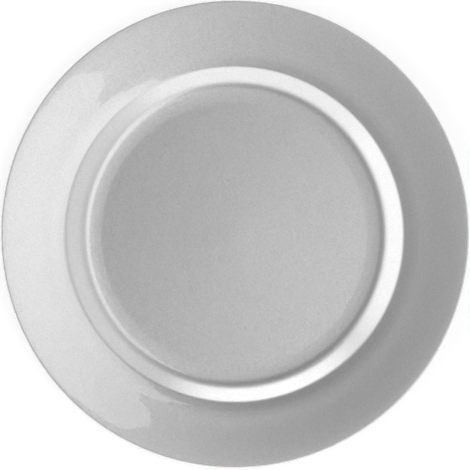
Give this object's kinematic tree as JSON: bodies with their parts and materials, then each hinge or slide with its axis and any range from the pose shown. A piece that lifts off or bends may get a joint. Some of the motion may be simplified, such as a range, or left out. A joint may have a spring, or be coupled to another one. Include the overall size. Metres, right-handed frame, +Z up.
{
  "type": "charger plate",
  "caption": "Round silver lacquered charger plate with a wide sloping rim, a shallow flat well and an edge rolled down to a lip.",
  "frame": {"origin": "on the table, under the middle of the plate", "axes": "+Z up along the axis of the plate, out of the well"},
  "size_m": [0.33, 0.33, 0.0205],
  "materials": {
    "moulded_plastic": "satin moulded plastic",
    "silver_lacquer": "metal-flake silver lacquer",
    "clear_lacquer": "clear high-gloss lacquer"
  },
  "bodies": {
    "root": {"moulded_body": "moulded_plastic", "silver_base_coat": "silver_lacquer", "clear_gloss_coat": "clear_lacquer"}
  },
  "joints": []
}
